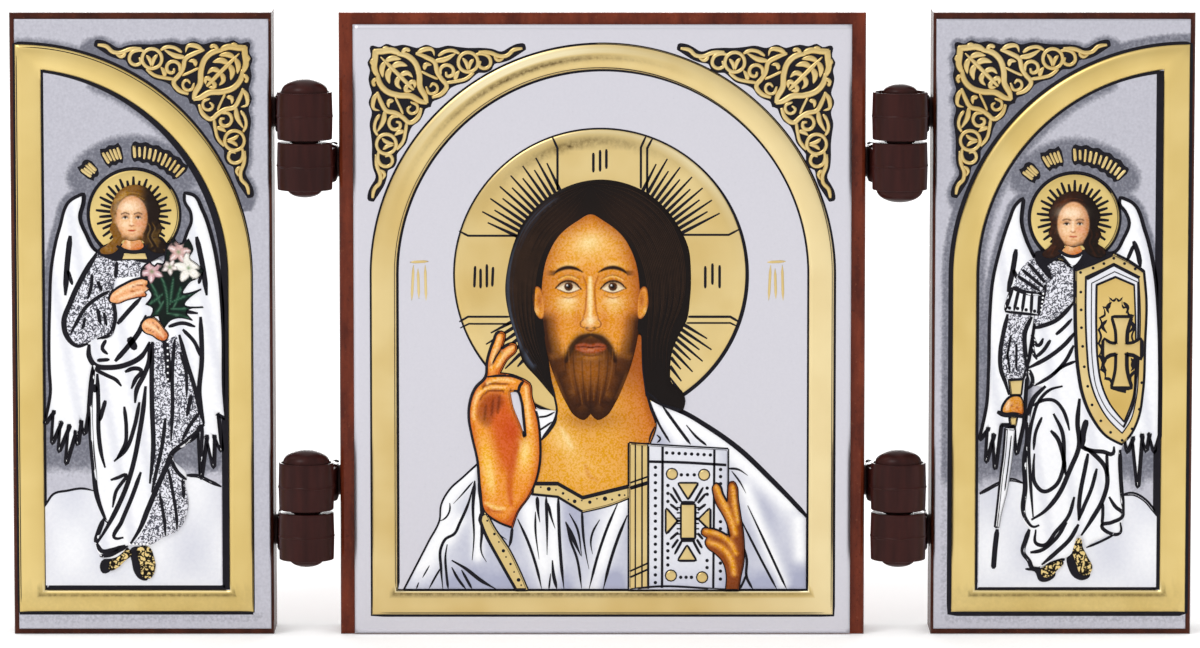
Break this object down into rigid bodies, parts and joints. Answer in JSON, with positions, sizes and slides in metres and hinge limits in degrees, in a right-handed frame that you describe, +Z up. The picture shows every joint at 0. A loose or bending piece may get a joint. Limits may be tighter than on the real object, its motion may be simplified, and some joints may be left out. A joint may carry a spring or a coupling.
{
  "type": "folding triptych icon",
  "caption": "Small folding travel icon: three brown boards faced with embossed silver and gold foil pictures, joined by barrel hinges so the side wings close over the middle.",
  "frame": {"origin": "middle of the centre board's underside, at mid-thickness", "axes": "+X to the right across the open triptych as seen from the front, +Y from the pictures towards the back, +Z up"},
  "size_m": [0.1322, 0.0124, 0.07],
  "materials": {
    "stained_board": "stained fibreboard, satin varnish",
    "silver_foil": "embossed metallised foil, satin",
    "gold_foil": "embossed gold foil, satin",
    "black_print": "printed black outline",
    "colour_print": "printed picture colours, semi-gloss",
    "hinge_plastic": "moulded plastic, semi-gloss"
  },
  "bodies": {
    "center": {"center_board": "stained_board", "center_icon": "silver_foil", "hinge_upper_left_center_knuckle": "hinge_plastic", "hinge_upper_left_pin": "hinge_plastic", "hinge_lower_left_center_knuckle": "hinge_plastic", "hinge_lower_left_pin": "hinge_plastic", "hinge_upper_right_center_knuckle": "hinge_plastic", "hinge_upper_right_pin": "hinge_plastic", "hinge_lower_right_center_knuckle": "hinge_plastic", "hinge_lower_right_pin": "hinge_plastic"},
    "left_wing": {"left_board": "stained_board", "left_icon": "silver_foil", "hinge_upper_left_wing_knuckle": "hinge_plastic", "hinge_lower_left_wing_knuckle": "hinge_plastic"},
    "right_wing": {"right_board": "stained_board", "right_icon": "silver_foil", "hinge_upper_right_wing_knuckle": "hinge_plastic", "hinge_lower_right_wing_knuckle": "hinge_plastic"}
  },
  "joints": [
    {"name": "left_wing_hinge", "type": "hinge", "parent": "center", "child": "left_wing", "pos_m": [-0.03315, -0.0052, 0.035], "axis": [0, 0, 1], "range_deg": [-40, 180]},
    {"name": "right_wing_hinge", "type": "hinge", "parent": "center", "child": "right_wing", "pos_m": [0.03315, -0.0052, 0.035], "axis": [0, 0, -1], "range_deg": [-40, 180]}
  ]
}
